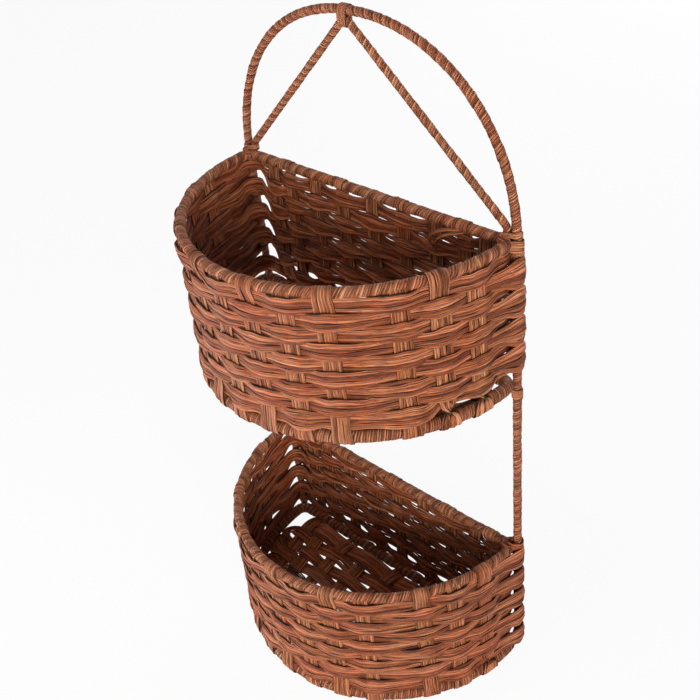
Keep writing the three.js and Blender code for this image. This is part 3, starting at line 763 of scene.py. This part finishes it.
def weaverKnots(tier, row):
    height = basket["height"] - weaver["drop"] - weaver["pitch"] * row
    middle = heights[tier + "_bottom"] + height
    last = row == weaver["rows"] - 1
    backDrop = weaver["backDrop"] * (1 - row / (weaver["rows"] - 1))
    knots = []

    def knot(x, y, normal, lean, spread, drop=0.0):
        across = unit(up + normal * lean)
        through = unit(normal - up * lean)
        knots.append([x, y, middle - drop, *across, *through, spread, 0.0])

    def ringKnot(s, offset, spread, drop):
        point, normal = ring.at(s)
        knot(*(point + normal * offset), np.array([*normal, 0.0]), 0.0, spread, drop)

    def postKnots(side, passes):
        spreads, rises = weaver["corners"][(tier, side)][passes]
        corner = 0 if side < 0 else ring.frontLength
        if last and (tier, side) == ("upper", 1):
            spreads = [weaver["liftedSpread"]] * 4
            rises = [weaver["lift"] + weaver["lastDrop"]] * 2 + [1, 0]
        elif last:
            spreads, rises = [max(v, weaver["lastPostSpread"]) for v in spreads], (0, 0, 0, 0)
        times = weaver["pressTimes"] if (tier, side) == ("lower", -1) else weaver["lastPostShare"]
        low = weaver["lastDrop"] * last * times
        high = low + backDrop * weaver["backCornerShare"]
        frontPlace, postPlace, backPlace = (v * side for v in weaver["cornerPlaces"])
        frontOffset, backOffset = weaver["cornerOffsets"][passes]
        made = len(knots)
        ringKnot(corner - frontPlace, frontOffset, spreads[0], low - rises[0])
        if passes == "outside":
            for degrees in weaver["postTurns"]:
                turn, share = math.radians(degrees), degrees / 90
                normal = np.array([side * math.cos(turn), math.sin(turn), 0.0])
                spread, rise = ((1 - share) * v[1] + share * v[2] for v in (spreads, rises))
                x, y, _ = xAxis * side * halfSpacing + weaver["postReach"] * normal
                knot(x, y, normal, 0.0, spread, low - rise)
        else:
            ringKnot(corner - postPlace, weaver["besidePost"], spreads[1], low - rises[1])
            normal = np.array([side, 1.0, 0.0]) / math.sqrt(2)
            x, y, _ = xAxis * side * halfSpacing - weaver["postInside"] * normal
            knot(x, y, normal, 0.0, (spreads[1] + spreads[2]) / 2, low - (rises[1] + rises[2]) / 2)
            ringKnot(corner + postPlace, weaver["besidePost"], spreads[2], low - rises[2])
        ringKnot(corner + backPlace, backOffset, spreads[3], high - rises[3])
        if side < 0:
            knots[made:] = knots[made:][::-1]

    def stakeSpreads(i):
        # spread over a stake, spread between it and the next one, and how far the row is lowered
        spread, cross, drop = weaver["spread"], weaver["crossSpread"], 0.0
        onBack = i > basket["frontStakes"]
        onLeft = tier == "lower" and i < weaver["leftStakes"] and row < weaver["leftRows"]
        if onBack:
            spread, cross, first = weaver["backSpreads"]
            spread, drop = first if row == 0 else spread, backDrop
        elif row >= weaver["lowRow"]:
            cross = weaver["lowCrossSpread"][tier]
            spread = max(spread, cross)
        if onLeft:
            share = 1 - row / weaver["leftRows"]
            spread, drop = spread - weaver["leftNarrowing"] * share, weaver["leftDrop"] * share
            cross = spread - 1
        if last and tier == "upper" and weaver["liftedAfter"] < i < basket["frontStakes"]:
            spread, drop = weaver["liftedSpread"], -weaver["lift"]
        elif last:
            pressed = onBack or (tier == "lower" and i < weaver["pressedStakes"])
            spread = weaver["lastSpread"]
            drop = weaver["lastDrop"] * (weaver["pressTimes"] if pressed else 1)
        return spread, cross, drop

    for i, anchor in enumerate(anchors):
        passes = "outside" if (i + row) % 2 == firstPass[tier] else "inside"
        sign = 1 if passes == "outside" else -1
        if anchor["kind"] == "post":
            postKnots(anchor["side"], passes)
            continue
        point, normal, along = anchorAt(anchor, height)
        spread, cross, drop = stakeSpreads(i)
        upper, lower = stakeOffset(height + spread / 2), stakeOffset(height - spread / 2)
        lean = (upper - lower) / spread
        offset = (upper + lower) / 2 + sign * weaver["swing"] * math.hypot(1, lean)
        for side in (-1, 0, 1):
            out = offset + (weaver["bulge"] * sign if side == 0 else 0)
            place = point + normal * out + along * weaver["reach"][passes] * side
            extra = (weaver["middleSpread"] - weaver["spread"]) * (side == 0)
            knot(place[0], place[1], normal, lean, spread + extra, drop)
        following = anchors[(i + 1) % len(anchors)]
        if following["kind"] == "stake":
            between = {"s": (anchor["s"] + following["s"]) / 2, "lean": anchor["lean"]}
            point, normal, along = anchorAt(between, height)
            place = point + normal * stakeOffset(height)
            knot(place[0], place[1], normal, 0.0, min(cross, spread), drop)
    return np.array(knots)


def addWeavers(tier):
    for row in range(weaver["rows"]):
        settings = {**weaver["strands"], "count": weaver["counts"][row % 2]}
        strands = bundle(weaverKnots(tier, row), settings, closed=True)
        grow(f"{tier}_weaver_{row + 1}", strands, strandTree, "weaver")


stake = {
    "spread": 13.2,
    "overRing": 4.0,  # radius of a hook that shows over the top ring's winding
    "underWinding": 3.1,  # and of one that the winding covers
    "coveredNarrowing": 1.5,
    "hookAngles": (200, 175, 150, 125, 100, 75, 50, 25),
    "legHeights": (102, 88, 66, 44, 24),
    "legUnevenness": 0.8,
    "backNarrowing": 1.2,
    "twistChance": 0.35,
    "ankle": ((0.6, 15), (1.6, 10), (-0.3, 5)),  # steps out and heights between wall and ring
    "pinchSpread": 9.0,  # where some bundles are twisted over under the last weaver
    "flareSpread": 14.5,  # round the bottom ring
    "roundBottom": 5.2,
    "bottomAngles": (15, -15, -45, -75, -105, -130),
    "flareEnd": -100,
    "floorSpread": 12.6,
    "floorShares": (0, 0.33, 0.67, 1),
    "fanSpread": 19.0,  # where the side stakes come onto the floor
    "sideOverlap": 1.75,  # the side stakes' strands are wide, so that their fans stay closed
    "floorInset": 13,
    "floorSwing": 1.95,
    "rowStart": 21.2,
    "rowEnd": 30,
    "rowCount": 8,
    "sideRows": (3, 4),
    "rowWidth": 9,
    "rowSpread": 11.8,
    "crossReach": 5.5,  # half the length of a pass over a stake of the floor
    # shift to the wall and spread of the outer floor rows
    "edgeRows": {0: (2.9, 17.0), 1: (1.2, 12.6), 6: (-0.8, 12.4), 7: (-2.6, 16.0)},
    "strands": {"count": 6, "step": 2.6, "widest": 12.5, "wander": 0.25, "stack": 0.5,
                "crown": 0.15, "depthWander": 0.12, "tilt": 0.25, "overlap": 1.14,
                "narrowest": 1.7},
}
rowPitch = (basket["depth"] - stake["rowStart"] - stake["rowEnd"]) / (stake["rowCount"] - 1)


def legKnots(tier, anchor, front):
    # from the hook over the top ring, down the wall and under the bottom ring
    knots = []
    covered = anchors.index(anchor) % 2 == firstPass[tier]
    hook = stake["underWinding"] if covered else stake["overRing"]
    wrap = stake["roundBottom"]
    twisted = math.pi * (rng.random() < stake["twistChance"]) * (1 if rng.random() < 0.5 else -1)

    def knot(offset, height, angle, spread, twist=0.0):
        point, normal, along = anchorAt(anchor, min(max(height, 0), basket["height"]))
        place = point + normal * offset + up * (heights[tier + "_bottom"] + height)
        through = normal * math.cos(angle) + up * math.sin(angle)
        knots.append([*place, *along, *through, spread, twist])

    hookSpread = stake["spread"] - (stake["coveredNarrowing"] if covered else 0)
    for angle in (math.radians(v) for v in stake["hookAngles"]):
        x, z = hook * math.cos(angle), basket["height"] + hook * math.sin(angle)
        knot(x, z, angle, hookSpread)
    for height in stake["legHeights"]:
        uneven = rng.uniform(-stake["legUnevenness"], stake["legUnevenness"])
        narrowing = 0 if front else stake["backNarrowing"]
        knot(basket["stakeOutset"], height, 0, stake["spread"] + uneven - narrowing)
    pinch = stake["pinchSpread"] if front and twisted else stake["spread"]
    flare = stake["flareSpread"] if front else stake["spread"]
    turn = twisted if front else 0.0
    parts = ((basket["stakeOutset"], (pinch + stake["spread"]) / 2, 0.0),
             (basket["stakeOutset"], pinch, turn / 2), (wrap, (pinch + flare) / 2, turn))
    for (base, spread, twist), (out, height) in zip(parts, stake["ankle"]):
        knot(base + out, height, 0, spread, twist)
    for degrees in stake["bottomAngles"]:
        angle = math.radians(degrees)
        spread = flare if degrees > stake["flareEnd"] else stake["spread"]
        knot(wrap * math.cos(angle), wrap * math.sin(angle), angle, spread, turn)
    return knots


def floorKnot(x, y, z, run, spread):
    return [x, y, z, *unit(np.cross(run, up)), *(-up), spread, 0.0]


def floorEdge(anchor):
    point, normal, _ = anchorAt(anchor, 0)
    return point - normal * stake["floorInset"]


def floorLines():
    # the stakes that cross the floor from the front wall to the back wall
    found = []
    count = len(basket["backShares"])
    for i in range(count):
        front, back = anchors[2 + i], anchors[basket["frontStakes"] + count - i]
        found.append({"front": front, "back": back,
                      "start": floorEdge(front), "end": floorEdge(back)})
    return found


lines = floorLines()


def rowY(row):
    return -(stake["rowStart"] + rowPitch * row)


def stakeX(line, y):
    slant = (line["end"][0] - line["start"][0]) / (line["end"][1] - line["start"][1])
    return line["start"][0] + slant * (y - line["start"][1]), slant


def lineReaches(line, row):
    return rowY(row) - stake["rowWidth"] / 2 >= line["start"][1]


def joinLeg(knots, floorPart, leg):
    # the far leg runs the other way up, so its across direction turns with it
    far = np.array(leg[::-1])
    far[:, acrossAt] *= -1
    far[:, twistAt] *= -1
    floorPart = np.array(floorPart)
    for row in floorPart:
        if row[acrossAt] @ np.array(knots[-1][acrossAt]) < 0:
            row[acrossAt] *= -1
    floorPart[:, twistAt] = np.linspace(knots[-1][twistAt], far[0][twistAt], len(floorPart))
    return np.vstack([np.array(knots), floorPart, far])


# two strand ends that have sprung out of one stake inside the upper back wall
looseEnd = {
    "stake": ("upper", 6),
    "width": 3.0,
    "step": 1.5,
    "upturn": 0.35,
    "tones": (0.35, 0.55),
    # along the wall from the stake, below the rim's middle, off the wall
    "strands": (((-1, 24, 2.6), (0, 21, 5.0), (2, 13, 9.0), (8, 7, 10.0), (15, 4, 7.5),
                 (23, 3, 4.5), (27, 2.5, 2.0)),
                ((1, 25, 2.6), (4, 21, 4.4), (7, 15, 8.0), (12, 9.5, 8.5), (18, 7, 6.5),
                 (24, 5.5, 4.2), (27, 5.0, 2.0))),
}


def looseStrands(anchor, bottom):
    point, normal, along = anchorAt(anchor, basket["height"])
    rim = point + up * (bottom + basket["height"]) + normal * basket["stakeOutset"]
    made = []
    for places, tone in zip(looseEnd["strands"], looseEnd["tones"]):
        knots = np.array([rim - along * dx - normal * out - up * down for dx, down, out in places])
        u, _, path = throughKnots(knots, looseEnd["step"], False)
        facing = np.tile(unit(-normal + looseEnd["upturn"] * up), (len(path), 1))
        made.append({"points": path, "facing": facing, "span": looseEnd["width"],
                     "along": u, "tone": tone})
    return made


def addStakes(tier):
    bottom = heights[tier + "_bottom"]
    for i, line in enumerate(lines):
        run = line["end"] - line["start"]
        near, far = legKnots(tier, line["front"], True), legKnots(tier, line["back"], False)
        floorPart = []
        for share in stake["floorShares"]:
            x, y, _ = line["start"] + run * share
            floorPart.append(floorKnot(x, y, bottom, unit(run), stake["floorSpread"]))
        strands = bundle(joinLeg(near, floorPart, far), stake["strands"])
        if (tier, i) == looseEnd["stake"]:
            strands += looseStrands(line["back"], bottom)
        grow(f"{tier}_stake_{i + 1}", strands, strandTree, "stake")
    for i, row in enumerate(stake["sideRows"]):
        left, right = anchors[i], anchors[basket["frontStakes"] - 1 - i]
        near, far = legKnots(tier, left, True), legKnots(tier, right, True)
        fans = []
        for x, y, _ in (floorEdge(left), floorEdge(right)):  # where a fan has nearly met its row
            fans.append(floorKnot(x, (y + 3 * rowY(row)) / 4, bottom, xAxis, stake["fanSpread"]))
        crossings = floorCrossings(row, bottom, lambda line: lineReaches(line, row))
        knots = joinLeg(near, [fans[0], *crossings, fans[1]], far)
        strands = bundle(knots, {**stake["strands"], "overlap": stake["sideOverlap"]})
        grow(f"{tier}_side_stake_{i + 1}", strands, strandTree, "stake")


floorWeaver = {
    "rows": {"back": (0, 1, 2), "front": (5, 6, 7)},
    "turnSpread": 9.0,
    "turnDepth": 9.5,
    "turnAngles": (-45, 0, 45),
    "turnRoom": (6, 6.75),  # beside a stake, and inside the ring
    "strands": {"count": 6, "step": 2.6, "widest": 17.0, "wander": 0.3, "stack": 0.7,
                "crown": 0.2, "depthWander": 0.15, "tilt": 0.4, "overlap": 1.34,
                "narrowest": 2.0},
}


def floorCrossings(row, bottom, crosses):
    shift, spread = stake["edgeRows"].get(row, (0.0, stake["rowSpread"]))
    y = rowY(row) + shift
    found = []
    for i, line in enumerate(lines):
        if crosses(line):
            x, slant = stakeX(line, y)
            z = bottom + (stake["floorSwing"] if (i + row) % 2 else -stake["floorSwing"])
            reach = stake["crossReach"] * math.hypot(1, slant)
            found += [floorKnot(x + side * reach, y, z, xAxis, spread) for side in (-1, 1)]
    return found


def insideHalf(y):
    inset = basket["ringRadius"] + basket["clearance"]
    share = max(ring.cornerY - y, 0) / (ring.frontRise - inset)
    return (ring.half - inset) * math.sqrt(max(1 - share * share, 0))


def roomToTurn(line, row):
    y = rowY(row)
    x, slant = stakeX(line, y)
    beside, inside = floorWeaver["turnRoom"]
    reach = beside * math.hypot(1, slant) + abs(slant) * stake["rowWidth"] / 2
    return lineReaches(line, row) and abs(x) + reach <= insideHalf(y) - inside


def addFloorWeavers(tier):
    bottom = heights[tier + "_bottom"]
    for label, rows in floorWeaver["rows"].items():
        knots = []
        for n, row in enumerate(rows):
            side = 1 if n % 2 == 0 else -1

            def crosses(line):
                x, _ = stakeX(line, rowY(row))
                step = n + 1 if np.sign(x) == side else n - 1
                joined = rows[step] if 0 <= step < len(rows) else row
                return roomToTurn(line, row) and roomToTurn(line, joined)

            crossings = floorCrossings(row, bottom, crosses)
            if side < 0:
                crossings = crossings[::-1]
                for item in crossings:
                    item[acrossAt] = [-v for v in item[acrossAt]]
            knots += crossings
            if row == rows[-1]:
                break
            lastX, lastY, lastZ = crossings[-1][placeAt]
            for angle in np.radians(floorWeaver["turnAngles"]):
                out = np.array([side * math.cos(angle), -math.sin(angle), 0])
                x = lastX + out[0] * floorWeaver["turnDepth"]
                y = lastY + (out[1] - 1) * rowPitch / 2
                z = bottom - (lastZ - bottom) * math.sin(angle) / math.sqrt(2)
                across = out * -side
                if across @ np.array(knots[-1][acrossAt]) < 0:
                    across = -across
                knots.append([x, y, z, *across, *(-up), floorWeaver["turnSpread"], 0.0])
        strands = bundle(np.array(knots), floorWeaver["strands"])
        grow(f"{tier}_floor_weaver_{label}", strands, strandTree, "weaver")


hoopWinding = {"starts": 4, "pitch": 1.95, "unevenness": 0.24, "swing": 0.14, "lift": 0.16,
               "overlap": 1.10, "reach": 2.8, "hand": 1, "stepsPerTurn": 12, "thickness": 0.42}
rodWinding = {
    "hoop": hoopWinding,
    "brace": {**hoopWinding, "reach": 2.4},
    "topRing": {"starts": 5, "pitch": 2.2, "unevenness": 0.24, "swing": 0.14, "lift": 0.22,
                "overlap": 1.08, "reach": 2.95, "hand": -1, "stepsPerTurn": 16,
                "thickness": 0.42, "swell": 0.5},
    "bottomRing": {"starts": 3, "pitch": 1.8, "unevenness": 0.2, "swing": 0.34, "lift": 0.22,
                   "overlap": 1.08, "reach": 3.6, "hand": -1, "stepsPerTurn": 14,
                   "thickness": 0.45, "swell": 0.9},
    "sectionPoints": 8,
    "step": 2.0,
    "widths": (0.6, 1.4),
    # lengths of the slow changes in pitch, in a strand's place, in its height and in its width
    "waves": (34, 9, 6, 14),
    "widthSwing": 0.14,
    "pressed": (6, 3),  # the winding is flat this far from a stake, and full that much further
}


def wind(node, kind, path, facing, swell=0.0):
    # one line for each strand: turn is its running angle, reach its distance from the rod's middle
    settings = rodWinding[kind]
    starts = settings["starts"]
    pitchWave, placeWave, liftWave, widthWave = rodWinding["waves"]
    u = lengthAlong(path)
    total = u[-1]
    advance = settings["pitch"] * (1 + settings["unevenness"] * wave(u, total, pitchWave)) * starts
    steps = np.diff(u) * 2 * math.pi / ((advance[1:] + advance[:-1]) / 2)
    turn = np.concatenate([[0], np.cumsum(steps)])
    widths = rng.uniform(*rodWinding["widths"], starts)
    widths /= widths.sum()
    places = np.cumsum(widths) - widths / 2
    strands = []
    for k in range(starts):
        angle = turn + 2 * math.pi * places[k] + settings["swing"] * wave(u, total, placeWave)
        reach = settings["reach"] + swell + settings["lift"] * wave(u, total, liftWave)
        uneven = 1 + rodWinding["widthSwing"] * wave(u, total, widthWave)
        strands.append({
            "points": path, "facing": np.tile(facing, (len(path), 1)), "along": u,
            "turn": angle * settings["hand"], "reach": reach,
            "span": advance * widths[k] * settings["overlap"] * uneven,
            "tone": (k + rng.uniform()) / starts,
        })
    count = int(turn[-1] / (2 * math.pi) * settings["stepsPerTurn"])
    grow(node, strands, windingTree, "wound_rod", {
        "Points": count, "Section Points": rodWinding["sectionPoints"],
        "Thickness Share": settings["thickness"]})


def evenPath(points, step):
    s = lengthAlong(points)
    u = np.linspace(0, s[-1], int(s[-1] / step) + 1)
    return np.stack([np.interp(u, s, points[:, j]) for j in range(3)], 1)


def addHoop():
    angle = np.linspace(0, math.pi, basket["archSteps"])
    power = 2 / basket["archFullness"]
    x = -halfSpacing * np.sign(np.cos(angle)) * np.abs(np.cos(angle)) ** power
    z = heights["upper_top"] + basket["archRise"] * np.abs(np.sin(angle)) ** power
    arch = np.stack([x, np.zeros_like(x), z], 1)
    low = heights["lower_bottom"]
    points = np.vstack([[-halfSpacing, 0, low], arch, [halfSpacing, 0, low]])
    wind("hoop_and_posts", "hoop", evenPath(points, rodWinding["step"]), yAxis)


brace = {"topRise": 6.55, "foot": 1, "bend": 5, "bendSteps": 9, "apexShift": 9}
apexShare = 1 - (brace["apexShift"] / halfSpacing) ** basket["archFullness"]
apexTop = heights["upper_top"] + basket["archRise"] * apexShare ** (1 / basket["archFullness"])
footX = halfSpacing - brace["topRise"]
footZ = heights["upper_top"] + basket["ringRadius"] + basket["clearance"]


def addBrace():
    kneeZ = footZ + brace["foot"] + brace["bend"] / 2
    climb = apexTop - brace["topRise"] - kneeZ
    steep = climb / math.hypot(climb, footX)
    apexZ = apexTop - brace["topRise"] + brace["bend"] * steep / 2
    apexX = -brace["apexShift"]
    corners = [np.array((x, 0, z), float) for x, z in (
        (-footX, footZ), (-footX, kneeZ), (apexX, apexZ), (footX, kneeZ), (footX, footZ))]
    points = [corners[0]]
    for before, corner, after in zip(corners, corners[1:], corners[2:]):
        a = corner + unit(before - corner) * brace["bend"]
        b = corner + unit(after - corner) * brace["bend"]
        for t in np.linspace(0, 1, brace["bendSteps"]):
            points.append((1 - t) ** 2 * a + 2 * t * (1 - t) * corner + t * t * b)
    points.append(corners[-1])
    wind("v_brace", "brace", evenPath(np.array(points), rodWinding["step"]), yAxis)


def addRing(tier, level):
    # the winding stands proud between the stakes that go over it and is pressed flat under them
    kind, height = ("topRing", basket["height"]) if level == "top" else ("bottomRing", 0)
    s = np.linspace(0, ring.full, int(ring.full / rodWinding["step"]) + 1)
    z = heights[f"{tier}_{level}"]
    path = np.array([[*ring.at(v)[0], z] for v in (*s[:-1], 0)])
    swell = np.ones_like(s)
    flat, slope = rodWinding["pressed"]
    for i, anchor in enumerate(anchors):
        underWinding = level == "top" and i % 2 == firstPass[tier]
        if anchor["kind"] == "stake" and not underWinding:
            middle = anchor["s"] + anchor["lean"] * (1 - height / basket["height"])
            distance = np.abs((s - middle + ring.full / 2) % ring.full - ring.full / 2)
            swell = np.minimum(swell, np.clip((distance - flat) / slope, 0, 1))
    wind(f"{tier}_{level}_ring", kind, path, up, swell * rodWinding[kind]["swell"])


binding = {
    "span": 2.3,
    "widthSwing": 0.15,
    "widthWave": 20,
    "alongRange": 400,
    "toneRange": (0.2, 0.9),
    "pitch": 1.9,
    "stepsPerTurn": 28,
    "squareness": 3,  # how fast a loop goes from one rod to the other
    # turns, how far the loops are tipped over, start angle, and how far they stand off the rod
    "apex": (4, 0.5, 0.8, 0.5),
    "foot": (2, 1.2, 0.0, 0.3),
    "post": (4, 0.0, 0.0, 0.5),
    "apexSpare": 1.2,
    "footRise": 0.8,
    "postRise": 3.95,  # from the ring's top or underside to the middle of a coil on a post
    # lashings that climb a corner: turns, lowest and highest place over the ring's middle
    "upper_top": (8, -14.5, 3.6),
    "lower_top": (5, -3.0, 6.5),
    "cornerWidth": 1.15,
    "cornerProud": 1.1,
    "cornerTip": 2.6,
    "cornerSpare": (2.2, 2.5),  # how far off the ring a loop lets go of it, and how gradually
}


def flatStrand(points, facing, width):
    along = lengthAlong(points)
    uneven = width + binding["widthSwing"] * wave(along, along[-1], binding["widthWave"])
    return {"points": points, "facing": facing, "span": binding["span"] * uneven,
            "along": along + binding["alongRange"] * rng.uniform(),
            "tone": rng.uniform(*binding["toneRange"])}


def coil(centre, long, short, axis, halfLong, wrap):
    # one flat strand wound round one or two rods
    turns, slope, phase, proud = wrap
    steps = int(turns * binding["stepsPerTurn"]) + 1
    angle = np.linspace(0, 2 * math.pi * turns, steps) + phase
    u = (angle - phase) / (2 * math.pi)
    c, s = np.cos(angle), np.sin(angle)
    outward = long * c[:, None] + short * s[:, None]
    climb = binding["pitch"] * (u - turns / 2) + slope * c
    beside = np.tanh(c * binding["squareness"]) * halfLong
    points = (centre + outward * (basket["hoopRadius"] + proud) + long * beside[:, None]
              + axis * climb[:, None])
    return flatStrand(points, outward, 1)


def cornerLashing(side, tier):
    # one strand that climbs round the post and the ring's corner together, then round the post alone
    turns, low, high = binding[tier]
    angle = np.linspace(0, 2 * math.pi * turns, int(turns * binding["stepsPerTurn"]) + 1)
    c, s = np.cos(angle), np.sin(angle)
    inward = np.array([-side, -1.0, 0.0]) / math.sqrt(2)
    across = np.array([1.0, -side, 0.0]) / math.sqrt(2)
    level = low + (high - low) * angle / angle[-1]
    spare, fade = binding["cornerSpare"]
    both = np.clip((basket["ringRadius"] + spare - np.abs(level)) / fade, 0, 1)
    z = level + binding["cornerTip"] * c * both
    reach = (basket["hoopRadius"] + basket["ringRadius"] + basket["clearance"]) / 2 * both
    beside = reach * (1 + np.tanh(c * binding["squareness"]))
    outward = inward * c[:, None] + across * s[:, None]
    points = (np.array([side * halfSpacing, 0, heights[tier]]) + inward * beside[:, None]
              + outward * (basket["hoopRadius"] + binding["cornerProud"]) + up * z[:, None])
    return flatStrand(points, outward, binding["cornerWidth"])


def addBindings():
    half = (brace["topRise"] + binding["apexSpare"]) / 2
    centre = np.array([-brace["apexShift"], 0, apexTop - half])
    strands = [coil(centre, up, yAxis, xAxis, half, binding["apex"])]
    grow("apex_binding", strands, strandTree, "binding")
    climb = basket["ringRadius"] + basket["clearance"] + binding["postRise"]
    for label, side in (("left", -1), ("right", 1)):
        def addLashing(tier, *strands):
            grow(f"{tier}_lashing_{label}", list(strands), strandTree, "binding")

        def onPost(z):
            centre = np.array([side * halfSpacing, 0, z])
            return coil(centre, xAxis, yAxis, up, 0, binding["post"])

        centre = np.array([side * (halfSpacing + footX) / 2, 0, footZ + binding["footRise"]])
        foot = coil(centre, xAxis, yAxis, up, (halfSpacing - footX) / 2, binding["foot"])
        addLashing("upper_top", foot, cornerLashing(side, "upper_top"))
        addLashing("upper_bottom", onPost(heights["upper_bottom"] - climb))
        addLashing("lower_top", cornerLashing(side, "lower_top"))
        addLashing("lower_bottom", onPost(heights["lower_bottom"] + climb))


addHoop()
addBrace()
print("hoop and brace are wound")
for tier in ("upper", "lower"):
    addRing(tier, "top")
    addRing(tier, "bottom")
    addWeavers(tier)
    addStakes(tier)
    addFloorWeavers(tier)
    print(tier, "basket is woven")
addBindings()
print("bindings are tied")
